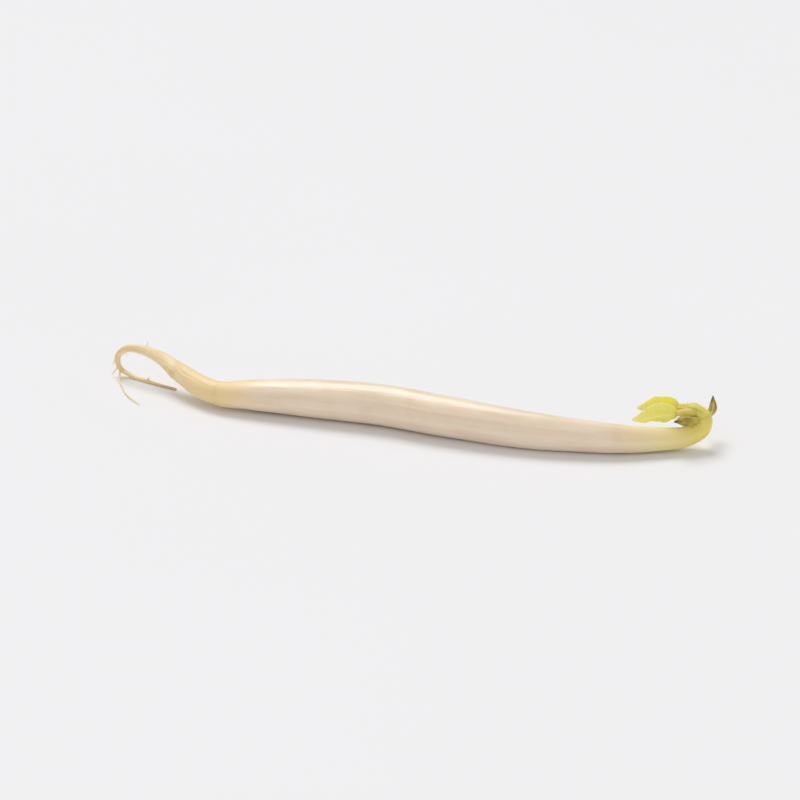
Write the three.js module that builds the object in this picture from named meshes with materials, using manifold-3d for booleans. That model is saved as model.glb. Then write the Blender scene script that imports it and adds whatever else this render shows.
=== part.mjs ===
// A mung bean sprout, as picked, lying on a flat surface.
//
// Millimetres, +Z up. +X runs from the curled root to the leafy head. The sprout rests on the plane
// z = 0, and the origin is the middle of its box on that plane.
//
// One centreline runs from the root tip to the shoot tip. The root, the white stem and the short
// green shoot are three stretches of it. Seed leaves, first leaves and side roots grow out of it.

import * as THREE from "three";
import { mergeVertices } from "three/addons/utils/BufferGeometryUtils.js";
import Module from "manifold-3d";

const wasm = await Module();
wasm.setup();

// ---------------------------------------------------------------- driving dimensions, mm

const STEM_RADIUS = 2.03; // the white stem at its thickest
const NECK_RADIUS = 1.0; // where the stem turns into the hook
const COLLAR_RADIUS = 1.16; // where stem and root meet
const SHOOT_RADIUS = 0.62; // the green shoot above the seed leaves
const SHOOT_FLARE = 0.35; // how much broader the shoot's tip is from side to side
const ROOT_TIP_RADIUS = 0.13;
const RESTING_FLAT = 0.14; // how deep the soft stem is flattened where it rests
const PIECE_GAP = 0.08; // clear space between neighbouring pieces

const LEAF_LENGTH = 5.0;
const LEAF_HALF_WIDTH = 1.25;
const LEAF_THICKNESS = 0.6;
const STALK_HALF_WIDTH = 0.3;
const LEAF_SPACING = 0.58; // each leaf stalk's distance from the shoot's own axis

const SEED_LEAF_LENGTH = 2.7;
const SEED_LEAF_RADIUS = 0.6;
const SEED_LEAF_FLATNESS = 0.55; // its thickness over its width
const SEED_STALK_RADIUS = 0.26;
const SEED_TIP_RADIUS = 0.14;

const BUD_LENGTH = 1.2;
const BUD_RADIUS = 0.25;
const BUD_DEPTH = 0.3; // how far the bud's base is sunk in the shoot's tip

const SIDE_ROOT_COUNT = 4;
const SIDE_ROOT_RADIUS = 0.16;
const SIDE_ROOT_TIP_RADIUS = 0.1;
const SIDE_ROOT_SHORTEST = 0.7;
const SIDE_ROOT_LONGEST = 1.4;
const SIDE_ROOT_ZONE = [0.18, 0.68]; // shares of the root's length between which they grow
const THREAD_TIP_RADIUS = 0.12; // of the one long side root
const GOLDEN_TURN = 2.4; // radians from one side root to the next, so that none lie in line
const GOLDEN_SHARE = 0.618; // steps of this share spread their places and lengths evenly

// ---------------------------------------------------------------- the centreline

// A stretch that rests on the surface has its height worked out from its radius.
const RESTING = "resting";
const LOWEST_SHARE = 0.8; // of its radius: however thin it is, it isn't flattened more than this

// Where the collar lies, seen from the middle of the sprout's box.
const COLLAR_PLACE = new THREE.Vector3(-17.31, -1.07, 0);

// x, y, height and radius of the centreline, from root tip to shoot tip. x and y count from the
// collar, where root and stem meet.
const STATIONS = [
  [-4.9, 2.9, RESTING, ROOT_TIP_RADIUS],
  [-6.5, 3.4, RESTING, 0.15],
  [-8.2, 4.05, RESTING, 0.18],
  [-9.9, 4.65, 0.24, 0.21],
  [-11.15, 5.0, 0.8, 0.25],
  [-11.4, 5.1, 1.9, 0.3],
  [-10.45, 4.9, 2.9, 0.36],
  [-8.85, 4.55, 3.18, 0.45],
  [-6.6, 3.75, 2.8, 0.63],
  [-4.7, 2.7, 2.2, 0.9],
  [-3.0, 1.65, 1.75, 1.09],
  [0, 0.25, 1.42, COLLAR_RADIUS],
  [3.45, 0.28, 1.6, 1.58],
  [9.5, 0.42, RESTING, 1.92],
  [15.8, 0.25, RESTING, STEM_RADIUS],
  [22.2, -0.8, RESTING, 1.98],
  [30.3, -1.5, RESTING, 1.78],
  [37.9, -1.0, 1.4, 1.4],
  [41.45, 0, 1.22, 1.16],
  [44.0, 0.95, 1.3, NECK_RADIUS],
  [45.45, 1.65, 2.0, 0.87],
  [45.6, 2.0, 2.9, 0.77],
  [44.95, 2.15, 3.42, SHOOT_RADIUS],
  [43.95, 2.12, 3.5, 0.64],
];
const COLLAR_STATION = 11;
const NODE_STATION = 21;
const SHOOT_STATION = STATIONS.length - 1;

function stationHeight([, , height, radius]) {
  return height === RESTING ? Math.max(radius - RESTING_FLAT, radius * LOWEST_SHARE) : height;
}

const stationPoints = STATIONS.map((s) => new THREE.Vector3(s[0], s[1], stationHeight(s)));
const centreline = new THREE.CatmullRomCurve3(stationPoints, false, "centripetal");
const thickness = new THREE.SplineCurve(STATIONS.map((s, i) => new THREE.Vector2(i, s[3])));

// ---------------------------------------------------------------- tools for solids

// Joins the shared vertices of a closed mesh and drops the triangles that this collapses.
function weld(geometry) {
  const bare = geometry.clone();
  bare.deleteAttribute("normal");
  bare.deleteAttribute("uv");
  const merged = mergeVertices(bare, 1e-4);
  const kept = [];
  for (let i = 0; i < merged.index.count; i += 3) {
    const [a, b, c] = [0, 1, 2].map((k) => merged.index.getX(i + k));
    if (a !== b && b !== c && c !== a) {
      kept.push(a, b, c);
    }
  }
  merged.setIndex(kept);
  return merged;
}

// Upright frames along a curve, each turned from the last by no more than the curve itself turns.
function framesAlong(curve, parameters, firstNormal = new THREE.Vector3(0, 0, 1)) {
  let normal = firstNormal;
  return parameters.map((t) => {
    const tangent = curve.getTangent(t);
    normal = normal.clone().addScaledVector(tangent, -normal.dot(tangent)).normalize();
    return { point: curve.getPoint(t), tangent, normal, side: normal.clone().cross(tangent) };
  });
}

// A closed round body: rings of the given radii, one on each frame, with flat ends.
// shape(angle, share) scales a ring's radius round the body and along it.
function bodyOnFrames(frames, radii, sides, shape = () => 1) {
  const steps = frames.length - 1;
  const profile = radii.map((radius, i) => new THREE.Vector2(radius, i));
  profile.unshift(new THREE.Vector2(0, 0));
  profile.push(new THREE.Vector2(0, steps));
  const body = new THREE.LatheGeometry(profile, sides);
  const position = body.attributes.position;
  const vertex = new THREE.Vector3();
  for (let i = 0; i < position.count; i++) {
    vertex.fromBufferAttribute(position, i);
    const step = Math.round(vertex.y);
    const scale = shape(Math.atan2(vertex.x, vertex.z), step / steps);
    const { point, normal, side } = frames[step];
    const placed = point.clone();
    placed.addScaledVector(normal, vertex.x * scale);
    placed.addScaledVector(side, vertex.z * scale);
    position.setXYZ(i, placed.x, placed.y, Math.max(placed.z, 0));
  }
  return weld(body);
}

function evenSteps(from, to, steps) {
  return Array.from({ length: steps + 1 }, (_, i) => from + ((to - from) * i) / steps);
}

// A short branch of its own: a smooth curve through a few points, tapering from root to tip.
function branch(points, baseRadius, tipRadius, steps, sides) {
  const curve = new THREE.CatmullRomCurve3(points, false, "centripetal");
  const shares = evenSteps(0, 1, steps);
  const radii = shares.map((share) => THREE.MathUtils.lerp(baseRadius, tipRadius, share));
  return bodyOnFrames(framesAlong(curve, shares), radii, sides);
}

// One stretch of the centreline, between two stations, clear of its neighbours by half the gap.
function stretch(fromStation, toStation, steps, sides, shape) {
  const reach = PIECE_GAP / 2 / centreline.getLength();
  const ends = [fromStation, toStation].map((station) => station / SHOOT_STATION);
  const from = fromStation > 0 ? ends[0] + slack(ends[0], reach) : ends[0];
  const to = toStation < SHOOT_STATION ? ends[1] - slack(ends[1], reach) : ends[1];
  const parameters = evenSteps(from, to, steps);
  const radii = parameters.map((t) => thickness.getPoint(t).y);
  return bodyOnFrames(framesAlong(centreline, parameters), radii, sides, shape);
}

// How much curve parameter a given share of the whole length takes up near parameter t.
function slack(t, share) {
  const probe = 1e-4;
  const travelled = centreline.getPoint(t + probe).distanceTo(centreline.getPoint(t - probe));
  return (share * centreline.getLength() * 2 * probe) / travelled;
}

function toManifold(geometry) {
  return new wasm.Manifold(
    new wasm.Mesh({
      numProp: 3,
      vertProperties: Float32Array.from(geometry.attributes.position.array),
      triVerts: Uint32Array.from(geometry.index.array),
    }),
  );
}

function fuse(geometries) {
  const joined = geometries.map(toManifold).reduce((whole, next) => whole.add(next));
  const { vertProperties, triVerts } = joined.getMesh();
  const geometry = new THREE.BufferGeometry();
  geometry.setAttribute("position", new THREE.BufferAttribute(vertProperties, 3));
  geometry.setIndex(Array.from(triVerts));
  return geometry;
}

// ---------------------------------------------------------------- the root

const ROOT_SIDES = 12;
const ROOT_STEPS = 64;
const THREAD_SIDES = 6;

// The long thread that leaves the curl and runs forward along the surface.
function longSideRoot() {
  const points = [
    new THREE.Vector3(-11.1, 4.95, 0.7),
    new THREE.Vector3(-10.9, 3.9, 0.22),
    new THREE.Vector3(-10.1, 2.2, 0.16),
    new THREE.Vector3(-8.9, 0.3, 0.14),
    new THREE.Vector3(-7.4, -1.1, 0.13),
  ];
  return branch(points, SIDE_ROOT_RADIUS, THREAD_TIP_RADIUS, 16, THREAD_SIDES);
}

// A short side root grows away from the root at its own angle, leaning to the root's tip, and droops.
function shortSideRoot(number) {
  const spread = (number * GOLDEN_SHARE) % 1;
  const [from, to] = SIDE_ROOT_ZONE;
  const share = from + ((to - from) * (number + spread)) / SIDE_ROOT_COUNT;
  const place = (share * COLLAR_STATION) / SHOOT_STATION;
  const [{ point, tangent, normal, side }] = framesAlong(centreline, [place]);
  const length = THREE.MathUtils.lerp(SIDE_ROOT_SHORTEST, SIDE_ROOT_LONGEST, spread);
  const turn = number * GOLDEN_TURN;
  const away = normal.clone().multiplyScalar(Math.cos(turn));
  away.addScaledVector(side, Math.sin(turn));
  away.addScaledVector(tangent, -0.5).normalize();
  const middle = point.clone().addScaledVector(away, length * 0.55);
  const tip = point.clone().addScaledVector(away, length);
  tip.z -= length * 0.25;
  for (const spot of [middle, tip]) {
    spot.z = Math.max(spot.z, RESTING_FLAT);
  }
  return branch([point, middle, tip], SIDE_ROOT_RADIUS * 0.9, SIDE_ROOT_TIP_RADIUS, 6, THREAD_SIDES);
}

function rootGeometry() {
  const knobbly = (angle, share) =>
    1 + 0.05 * Math.sin(2 * angle + 9 * share) + 0.04 * Math.sin(41 * share + angle);
  const main = stretch(0, COLLAR_STATION, ROOT_STEPS, ROOT_SIDES, knobbly);
  const shortOnes = Array.from({ length: SIDE_ROOT_COUNT }, (_, number) => shortSideRoot(number));
  return fuse([main, longSideRoot(), ...shortOnes]);
}

// ---------------------------------------------------------------- the stem and the shoot

const STEM_SIDES = 20;
const STEM_STEPS = 90;
const SHOOT_SIDES = 14;
const SHOOT_STEPS = 14;

// Slightly oval, with shallow grooves along the stem.
function stemShape(angle, share) {
  const oval = 0.03 * Math.cos(2 * angle + 4 * share);
  const grooves = 0.012 * Math.cos(5 * angle - 3 * share);
  return 1 + oval + grooves;
}

const shootFrame = framesAlong(centreline, [1])[0];

// The shoot's tip is broad from side to side, where it carries a leaf stalk on either hand.
function shootShape(angle, share) {
  const sideways = Math.cos(angle) ** 2;
  return 1 + SHOOT_FLARE * sideways * THREE.MathUtils.smoothstep(share, 0.35, 1);
}

function shootGeometry() {
  const shoot = stretch(NODE_STATION, SHOOT_STATION, SHOOT_STEPS, SHOOT_SIDES, shootShape);
  const buried = shootFrame.point.clone().addScaledVector(shootFrame.tangent, -BUD_DEPTH);
  const shares = evenSteps(0, 1, 8);
  const radii = shares.map((share) => BUD_RADIUS * Math.sqrt(Math.max(1 - share ** 3, 0.03)));
  const tip = buried.clone().addScaledVector(shootFrame.tangent, BUD_LENGTH);
  const bud = bodyOnFrames(framesAlong(new THREE.LineCurve3(buried, tip), shares), radii, 8);
  return fuse([shoot, bud]);
}

// ---------------------------------------------------------------- the seed leaves

const SEED_LEAF_SIDES = 14;
const SEED_LEAF_STEPS = 16;
const SEED_LEAF_SETBACK = 0.006; // how far below the node they grow, as a share of the centreline
const UPPER_SEED_LEAF = { heading: [0.05, 0.85, 0.5], sag: 0.1, twist: 0.4 };
const LOWER_SEED_LEAF = { heading: [-0.75, -0.68, 0.3], sag: 0.35, twist: 1.2 };

// A dried seed leaf: a flat, wrinkled drop on a short stalk, growing from the node along heading.
// sag lowers its tip, and twist turns its flat sides about its length.
function seedLeafGeometry({ heading, sag, twist }) {
  const t = NODE_STATION / SHOOT_STATION - SEED_LEAF_SETBACK;
  const node = framesAlong(centreline, [t])[0];
  const direction = new THREE.Vector3(...heading).normalize();
  const away = direction.clone().addScaledVector(node.tangent, -direction.dot(node.tangent));
  away.normalize();
  const clear = thickness.getPoint(t).y * 1.09 + PIECE_GAP;
  const start = node.point.clone().addScaledVector(away, clear);
  const middle = start.clone().addScaledVector(away, SEED_LEAF_LENGTH * 0.25);
  middle.addScaledVector(direction, SEED_LEAF_LENGTH * 0.3);
  const end = start.clone().addScaledVector(direction, SEED_LEAF_LENGTH);
  end.z -= sag;
  const curve = new THREE.CatmullRomCurve3([start, middle, end], false, "centripetal");
  const shares = evenSteps(0, 1, SEED_LEAF_STEPS);
  const frames = framesAlong(curve, shares, node.tangent);
  const bulge = SEED_LEAF_RADIUS - (SEED_STALK_RADIUS + SEED_TIP_RADIUS) / 2;
  const radii = shares.map((share) => {
    const belly = Math.pow(Math.sin(Math.PI * share), 1.4);
    return THREE.MathUtils.lerp(SEED_STALK_RADIUS, SEED_TIP_RADIUS, share) + belly * bulge;
  });
  const wrinkled = (angle, share) => {
    const turned = angle + twist;
    const flat = 1 / Math.hypot(Math.cos(turned), Math.sin(turned) / SEED_LEAF_FLATNESS);
    const wrinkles = 0.1 * Math.sin(5 * angle + 6 * share) * Math.sin(Math.PI * share);
    return THREE.MathUtils.lerp(1, flat, Math.min(share * 4, 1)) * (1 + wrinkles);
  };
  return bodyOnFrames(frames, radii, SEED_LEAF_SIDES, wrinkled);
}

// ---------------------------------------------------------------- the first leaves

const LEAF_LENGTH_STEPS = 24;
const LEAF_WIDTH_STEPS = 12;
const FOLD_ROUNDING = 0.55; // radius of the fold along the midrib
const STALK_SHARE = 0.16; // the leaf stalk's share of the leaf's length

// How each leaf stands: outward is +1 or -1 for its side of the shoot. In degrees, splay turns it
// away from the shoot, rise lifts it, and roll turns it about its midrib.
const NEAR_STANCE = { outward: 1, splay: 7, rise: -13, roll: 82 };
const FAR_STANCE = { outward: -1, splay: 15, rise: -13, roll: 70 };

// How each leaf is bent: fold, in radians, between half and half, arch and sway of the tip in mm,
// and the height and phase of the waves along its edges.
const NEAR_FORM = { fold: 0.5, arch: 0.15, sway: -0.25, waves: 0.13, phase: 0 };
const FAR_FORM = { fold: 0.52, arch: 0.1, sway: 0.3, waves: 0.13, phase: 2 };

// A leaf is broadest below its middle, rounded where its stalk enters and pointed at its tip.
function leafHalfWidth(share) {
  const blade = THREE.MathUtils.clamp((share - STALK_SHARE) / (1 - STALK_SHARE), 0, 1);
  const swell = Math.abs(Math.sin(Math.PI * Math.pow(blade, 0.72)));
  const outline = Math.pow(swell, 0.75 + 0.6 * blade);
  return STALK_HALF_WIDTH * (1 - 0.7 * share) + (LEAF_HALF_WIDTH - STALK_HALF_WIDTH) * outline;
}

// The middle surface of a leaf that is folded along its midrib, arched, and waved at its edges.
// The midrib leaves the origin along +X, and the two halves fold up towards +Z. The waves die away
// towards the stalk and the tip.
function leafSurface({ fold, arch, sway, waves, phase }) {
  return (share, across) => {
    const distance = Math.abs(across) * leafHalfWidth(share);
    const open = fold * THREE.MathUtils.smoothstep(share, 0, 0.35);
    const rounding = Math.min(distance / FOLD_ROUNDING, open);
    const beyond = Math.max(distance - FOLD_ROUNDING * open, 0);
    const sideways = FOLD_ROUNDING * Math.sin(rounding) + beyond * Math.cos(open);
    const upwards = FOLD_ROUNDING * (1 - Math.cos(rounding)) + beyond * Math.sin(open);
    const wavy = THREE.MathUtils.smoothstep(share, 0.15, 0.45) * Math.min((1 - share) * 5, 1);
    const edge = Math.pow(Math.abs(across), 1.5) * wavy;
    const wave = waves * edge * Math.sin(share * 15 + phase + Math.sign(across) * 0.9);
    return new THREE.Vector3(
      LEAF_LENGTH * share,
      Math.sign(across) * (sideways - wave * Math.sin(open)) + sway * share * share,
      upwards + wave * Math.cos(open) + arch * share * share,
    );
  };
}

// A closed blade of even thickness round a surface. Both faces share one grid of triangles.
function bladeGeometry(surface) {
  const grid = new THREE.PlaneGeometry(1, 2, LEAF_LENGTH_STEPS, LEAF_WIDTH_STEPS);
  const count = grid.attributes.position.count;
  const points = [];
  for (const lift of [LEAF_THICKNESS / 2, -LEAF_THICKNESS / 2]) {
    for (let i = 0; i < count; i++) {
      const share = grid.attributes.position.getX(i) + 0.5;
      const across = grid.attributes.position.getY(i);
      const point = surface(share, across);
      point.addScaledVector(surfaceNormal(surface, share, across), lift);
      points.push(point.x, point.y, point.z);
    }
  }
  const faces = [];
  for (let i = 0; i < grid.index.count; i += 3) {
    const [a, b, c] = [0, 1, 2].map((k) => grid.index.getX(i + k));
    faces.push(a, b, c, count + a, count + c, count + b);
  }
  const rim = rimOfGrid();
  rim.forEach((here, i) => {
    const next = rim[(i + 1) % rim.length];
    faces.push(here, count + here, next, next, count + here, count + next);
  });
  const blade = new THREE.BufferGeometry();
  blade.setAttribute("position", new THREE.Float32BufferAttribute(points, 3));
  blade.setIndex(faces);
  return blade;
}

function surfaceNormal(surface, share, across) {
  const probe = 0.01;
  const along = surface(share + probe, across).sub(surface(share - probe, across));
  const sideways = surface(share, across + probe).sub(surface(share, across - probe));
  return along.cross(sideways).normalize();
}

// The grid's outer vertices in order round it, against the clock as seen from its upper face.
function rimOfGrid() {
  const columns = LEAF_LENGTH_STEPS;
  const rows = LEAF_WIDTH_STEPS;
  const vertex = (column, row) => row * (columns + 1) + column;
  const rim = [];
  for (let row = 0; row < rows; row++) {
    rim.push(vertex(0, row));
  }
  for (let column = 0; column < columns; column++) {
    rim.push(vertex(column, rows));
  }
  for (let row = rows; row > 0; row--) {
    rim.push(vertex(columns, row));
  }
  for (let column = columns; column > 0; column--) {
    rim.push(vertex(column, 0));
  }
  return rim;
}

// ---------------------------------------------------------------- the sprout

function material(color, roughness) {
  return new THREE.MeshStandardMaterial({ color, roughness, metalness: 0 });
}

function piece(name, geometry, finish) {
  const mesh = new THREE.Mesh(geometry, finish);
  mesh.name = name;
  return mesh;
}

// Sets a leaf at the shoot's tip.
function leaf(name, { outward, splay, rise, roll }, form, finish) {
  const mesh = piece(name, bladeGeometry(leafSurface(form)), finish);
  const forward = shootFrame.tangent.clone();
  const across = new THREE.Vector3(0, 0, 1).cross(forward).normalize();
  const up = forward.clone().cross(across);
  const base = shootFrame.point.clone().addScaledVector(forward, PIECE_GAP);
  base.addScaledVector(across, outward * LEAF_SPACING);
  mesh.matrix.makeBasis(forward, across, up).setPosition(base);
  mesh.matrix.decompose(mesh.position, mesh.quaternion, mesh.scale);
  mesh.rotateZ(THREE.MathUtils.degToRad(outward * splay));
  mesh.rotateY(THREE.MathUtils.degToRad(-rise));
  mesh.rotateX(THREE.MathUtils.degToRad(outward * roll));
  return mesh;
}

const sprout = new THREE.Group();
sprout.add(
  piece("root", rootGeometry(), material(0xd9b07a, 0.6)),
  piece(
    "hypocotyl",
    stretch(COLLAR_STATION, NODE_STATION, STEM_STEPS, STEM_SIDES, stemShape),
    material(0xf1e6cf, 0.35),
  ),
  piece("epicotyl", shootGeometry(), material(0xd3cf6a, 0.4)),
  piece(
    "cotyledon_upper",
    seedLeafGeometry(UPPER_SEED_LEAF),
    material(0x9a8a3c, 0.6),
  ),
  piece(
    "cotyledon_lower",
    seedLeafGeometry(LOWER_SEED_LEAF),
    material(0xb88a4a, 0.6),
  ),
  leaf("leaf_near", NEAR_STANCE, NEAR_FORM, material(0xe6dd4c, 0.45)),
  leaf("leaf_far", FAR_STANCE, FAR_FORM, material(0xdfe05a, 0.45)),
);

sprout.position.copy(COLLAR_PLACE);

export default sprout;
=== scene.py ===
"""Builds and finishes a mung bean sprout, as picked, lying on a plain floor.

Shapes are worked out in millimetres, in the frame of the solids that they stand for: +X runs from
the curled root to the leafy head, +Z is up, and the sprout rests on the plane z = 0. Finished
meshes are in metres. Every vertex keeps its place on the skin, as the attribute that the
materials read, so that streaks, furrows and veins follow the way the sprout grew.
"""

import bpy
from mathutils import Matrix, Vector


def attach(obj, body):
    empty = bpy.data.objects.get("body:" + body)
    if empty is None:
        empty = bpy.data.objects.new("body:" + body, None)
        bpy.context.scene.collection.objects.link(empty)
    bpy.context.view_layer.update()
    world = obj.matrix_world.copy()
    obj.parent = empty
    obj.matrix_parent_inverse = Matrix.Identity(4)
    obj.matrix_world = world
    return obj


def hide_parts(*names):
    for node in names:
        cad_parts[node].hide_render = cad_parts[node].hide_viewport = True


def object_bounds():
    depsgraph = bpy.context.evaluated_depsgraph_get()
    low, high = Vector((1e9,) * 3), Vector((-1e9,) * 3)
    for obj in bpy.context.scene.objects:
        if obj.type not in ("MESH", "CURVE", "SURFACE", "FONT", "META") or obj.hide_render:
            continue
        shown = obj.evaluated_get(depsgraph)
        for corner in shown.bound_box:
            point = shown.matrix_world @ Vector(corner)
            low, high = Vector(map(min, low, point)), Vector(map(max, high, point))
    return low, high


bl_info = {
    "name": "Mung Bean Sprout",
    "version": (1, 0, 0),
    "blender": (4, 5, 0),
    "location": "View3D > Sidebar > Sprout",
    "description": "Builds a mung bean sprout, lying on a plain floor",
    "category": "Add Mesh",
}

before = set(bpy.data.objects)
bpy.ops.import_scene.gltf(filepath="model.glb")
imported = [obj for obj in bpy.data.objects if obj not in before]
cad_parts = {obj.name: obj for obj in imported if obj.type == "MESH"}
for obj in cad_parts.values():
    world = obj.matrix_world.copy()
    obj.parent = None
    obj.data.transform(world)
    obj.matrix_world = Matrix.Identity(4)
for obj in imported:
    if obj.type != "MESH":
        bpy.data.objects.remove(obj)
CAD_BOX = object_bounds()

import math
import random
from collections import namedtuple
from itertools import accumulate, pairwise

import bmesh
import bpy
from bpy.props import FloatProperty, FloatVectorProperty, IntProperty
from mathutils import Matrix, Vector, noise

MM = 0.001
SKIN = "skin"  # the attribute that holds each vertex's place on the skin
SEED = 7
PALE_LENGTH = 6.0  # how far along the skin hairs and side roots start, clear of the browned tip

# ---- driving dimensions, in mm, the same as the solids'

STEM_RADIUS = 2.03
NECK_RADIUS = 1.0
COLLAR_RADIUS = 1.16
SHOOT_RADIUS = 0.62
SHOOT_FLARE = 0.35
ROOT_TIP_RADIUS = 0.13
RESTING_FLAT = 0.14
LOWEST_SHARE = 0.8

LEAF_LENGTH = 5.0
LEAF_HALF_WIDTH = 1.25
STALK_HALF_WIDTH = 0.3
LEAF_SPACING = 0.58
FOLD_ROUNDING = 0.55
STALK_SHARE = 0.16

SEED_LEAF_LENGTH = 2.7
SEED_LEAF_RADIUS = 0.6
SEED_LEAF_FLATNESS = 0.55
SEED_STALK_RADIUS = 0.26
SEED_TIP_RADIUS = 0.14
SEED_LEAF_SETBACK = 0.006

BUD_LENGTH = 1.2
BUD_RADIUS = 0.25
BUD_DEPTH = 0.3

SIDE_ROOT_COUNT = 4
SIDE_ROOT_RADIUS = 0.16
SIDE_ROOT_TIP_RADIUS = 0.1
SIDE_ROOT_SHORTEST = 0.7
SIDE_ROOT_LONGEST = 1.4
SIDE_ROOT_ZONE = (0.18, 0.68)
THREAD_TIP_RADIUS = 0.12
GOLDEN_TURN = 2.4
GOLDEN_SHARE = 0.618

RESTING = "resting"
COLLAR_PLACE = Vector((-17.31, -1.07, 0))

# x, y, height and radius of the centreline from root tip to shoot tip. x and y count from the collar.
STATIONS = (
    (-4.9, 2.9, RESTING, ROOT_TIP_RADIUS),
    (-6.5, 3.4, RESTING, 0.15),
    (-8.2, 4.05, RESTING, 0.18),
    (-9.9, 4.65, 0.24, 0.21),
    (-11.15, 5.0, 0.8, 0.25),
    (-11.4, 5.1, 1.9, 0.3),
    (-10.45, 4.9, 2.9, 0.36),
    (-8.85, 4.55, 3.18, 0.45),
    (-6.6, 3.75, 2.8, 0.63),
    (-4.7, 2.7, 2.2, 0.9),
    (-3.0, 1.65, 1.75, 1.09),
    (0, 0.25, 1.42, COLLAR_RADIUS),
    (3.45, 0.28, 1.6, 1.58),
    (9.5, 0.42, RESTING, 1.92),
    (15.8, 0.25, RESTING, STEM_RADIUS),
    (22.2, -0.8, RESTING, 1.98),
    (30.3, -1.5, RESTING, 1.78),
    (37.9, -1.0, 1.4, 1.4),
    (41.45, 0, 1.22, 1.16),
    (44.0, 0.95, 1.3, NECK_RADIUS),
    (45.45, 1.65, 2.0, 0.87),
    (45.6, 2.0, 2.9, 0.77),
    (44.95, 2.15, 3.42, SHOOT_RADIUS),
    (43.95, 2.12, 3.5, 0.64),
)
COLLAR_STATION = 11
NODE_STATION = 21
SHOOT_STATION = len(STATIONS) - 1

LONG_SIDE_ROOT = (
    (-11.1, 4.95, 0.7),
    (-10.9, 3.9, 0.22),
    (-10.1, 2.2, 0.16),
    (-8.9, 0.3, 0.14),
    (-7.4, -1.1, 0.13),
)

# heading, how far the tip sags, and how far the flat sides are turned about the length
UPPER_SEED_LEAF = {"heading": (0.05, 0.85, 0.5), "sag": 0.1, "twist": 0.4}
LOWER_SEED_LEAF = {"heading": (-0.75, -0.68, 0.3), "sag": 0.35, "twist": 1.2}

# outward is the side of the shoot, +1 or -1; splay, rise and roll are in degrees
NEAR_STANCE = {"outward": 1, "splay": 7, "rise": -13, "roll": 82}
FAR_STANCE = {"outward": -1, "splay": 15, "rise": -13, "roll": 70}
NEAR_FORM = {"fold": 0.5, "arch": 0.15, "sway": -0.25, "waves": 0.13, "phase": 0}
FAR_FORM = {"fold": 0.52, "arch": 0.1, "sway": 0.3, "waves": 0.13, "phase": 2}


# ---- curves and frames

Frame = namedtuple("Frame", "point tangent normal side")
TANGENT_REACH = 1e-3  # how far to either side a path's heading is taken


def mix(start, end, share):
    return start + (end - start) * share


def smooth(value, low, high):
    """0 up to low, 1 from high on, and a smooth step between them."""
    share = min(max((value - low) / (high - low), 0), 1)
    return share * share * (3 - 2 * share)


def hermite(start, end, start_slope, end_slope, x):
    """The cubic from start to end that has these slopes there."""
    turn = (end - start) * 3 - start_slope * 2 - end_slope
    rest = (start - end) * 2 + start_slope + end_slope
    return start + start_slope * x + turn * x**2 + rest * x**3


class SmoothPath:
    """A smooth curve through points that makes no loops where they are uneven."""

    def __init__(self, points):
        points = [Vector(point) for point in points]
        before = 2 * points[0] - points[1]
        after = 2 * points[-1] - points[-2]
        self.points = [before, *points, after]

    def point(self, t):
        """The place at t, which is 0 at the first point and 1 at the last."""
        spans = len(self.points) - 3
        place = min(max(t, 0), 1) * spans
        number = min(int(place), spans - 1)
        p0, p1, p2, p3 = self.points[number : number + 4]
        before, between, after = [math.sqrt((b - a).length) for a, b in ((p0, p1), (p1, p2), (p2, p3))]
        step = p2 - p1
        start_slope = step + ((p1 - p0) / before - (p2 - p0) / (before + between)) * between
        end_slope = step + ((p3 - p2) / after - (p3 - p1) / (between + after)) * between
        return hermite(p1, p2, start_slope, end_slope, place - number)

    def tangent(self, t):
        return (self.point(t + TANGENT_REACH) - self.point(t - TANGENT_REACH)).normalized()


def frames_along(path, parameters, first_normal=(0, 0, 1)):
    """A frame at each parameter, each turned from the last by no more than the path turns."""
    normal = Vector(first_normal)
    frames = []
    for t in parameters:
        tangent = path.tangent(t)
        normal = (normal - tangent * normal.dot(tangent)).normalized()
        frames.append(Frame(path.point(t), tangent, normal, normal.cross(tangent)))
    return frames


def outwards_at(place, angle):
    """The way out from a frame, at an angle counted from its side to its normal."""
    return place.side * math.cos(angle) + place.normal * math.sin(angle)


def lengths_along(frames, first=0.0):
    """The distance travelled along the path at each frame."""
    steps = ((b.point - a.point).length for a, b in pairwise(frames))
    return list(accumulate(steps, initial=first))


def bends_along(frames):
    """At each frame the way that the path bends, as long as 1 over the radius of the bend."""
    ahead = [*frames[1:], frames[-1]]
    behind = [frames[0], *frames[:-1]]
    return [(b.tangent - a.tangent) / (b.point - a.point).length for a, b in zip(behind, ahead)]


def inside_bend(place, bend, angle):
    """How sharply the path bends towards an angle, and 0 on the outside of the bend."""
    return max(bend.dot(outwards_at(place, angle)), 0)


def even_steps(start, end, steps):
    return [mix(start, end, number / steps) for number in range(steps + 1)]


def station_height(height, radius):
    if height == RESTING:
        return max(radius - RESTING_FLAT, radius * LOWEST_SHARE)
    return height


CENTRELINE = SmoothPath([COLLAR_PLACE + Vector((x, y, station_height(z, r))) for x, y, z, r in STATIONS])


def centreline_radius(t):
    """The sprout's radius at t along its centreline."""
    radii = [station[3] for station in STATIONS]
    place = min(max(t, 0), 1) * SHOOT_STATION
    number = min(int(place), SHOOT_STATION - 1)
    before, start, end, after = [radii[min(max(number + k, 0), SHOOT_STATION)] for k in (-1, 0, 1, 2)]
    return hermite(start, end, (end - before) / 2, (after - start) / 2, place - number)


def centreline_stretch(from_station, to_station, steps):
    """The frames and radii of a stretch of the centreline."""
    parameters = [place / SHOOT_STATION for place in even_steps(from_station, to_station, steps)]
    return frames_along(CENTRELINE, parameters), [centreline_radius(t) for t in parameters]


SHOOT_FRAME = frames_along(CENTRELINE, [1])[0]


# ---- meshes in the making

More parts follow.
